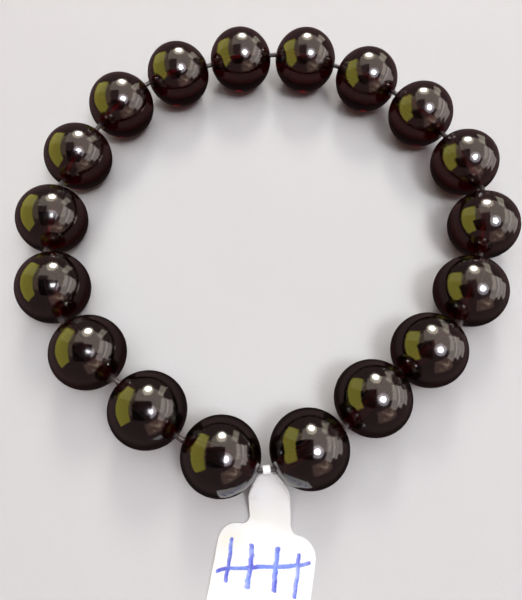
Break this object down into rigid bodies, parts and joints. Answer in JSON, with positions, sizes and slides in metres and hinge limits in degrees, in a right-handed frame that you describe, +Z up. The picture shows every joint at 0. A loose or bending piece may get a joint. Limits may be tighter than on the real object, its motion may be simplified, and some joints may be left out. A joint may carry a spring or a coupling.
{
  "type": "bead bracelet",
  "caption": "Bracelet of round polished dark red garnet beads strung on an elastic cord, with a folded paper price tag looped round the cord.",
  "frame": {"origin": "on the table, under the middle of the whole object, tag included", "axes": "+Z up out of the table that the bracelet lies on; +Y from the tag's free end towards the back of the ring; +X to the right seen from above with the tag at the bottom"},
  "size_m": [0.0724, 0.0972, 0.01],
  "materials": {
    "garnet": "high polish, nearly black dark red",
    "elastic": "dark elastic cord",
    "tag_paper": "smooth white label paper"
  },
  "bodies": {
    "root": {"bead_01": "garnet", "bead_02": "garnet", "bead_03": "garnet", "bead_04": "garnet", "bead_05": "garnet", "bead_06": "garnet", "bead_07": "garnet", "bead_08": "garnet", "bead_09": "garnet", "bead_10": "garnet", "bead_11": "garnet", "bead_12": "garnet", "bead_13": "garnet", "bead_14": "garnet", "bead_15": "garnet", "bead_16": "garnet", "bead_17": "garnet", "bead_18": "garnet", "elastic_cord": "elastic", "price_tag": "tag_paper"}
  },
  "joints": []
}
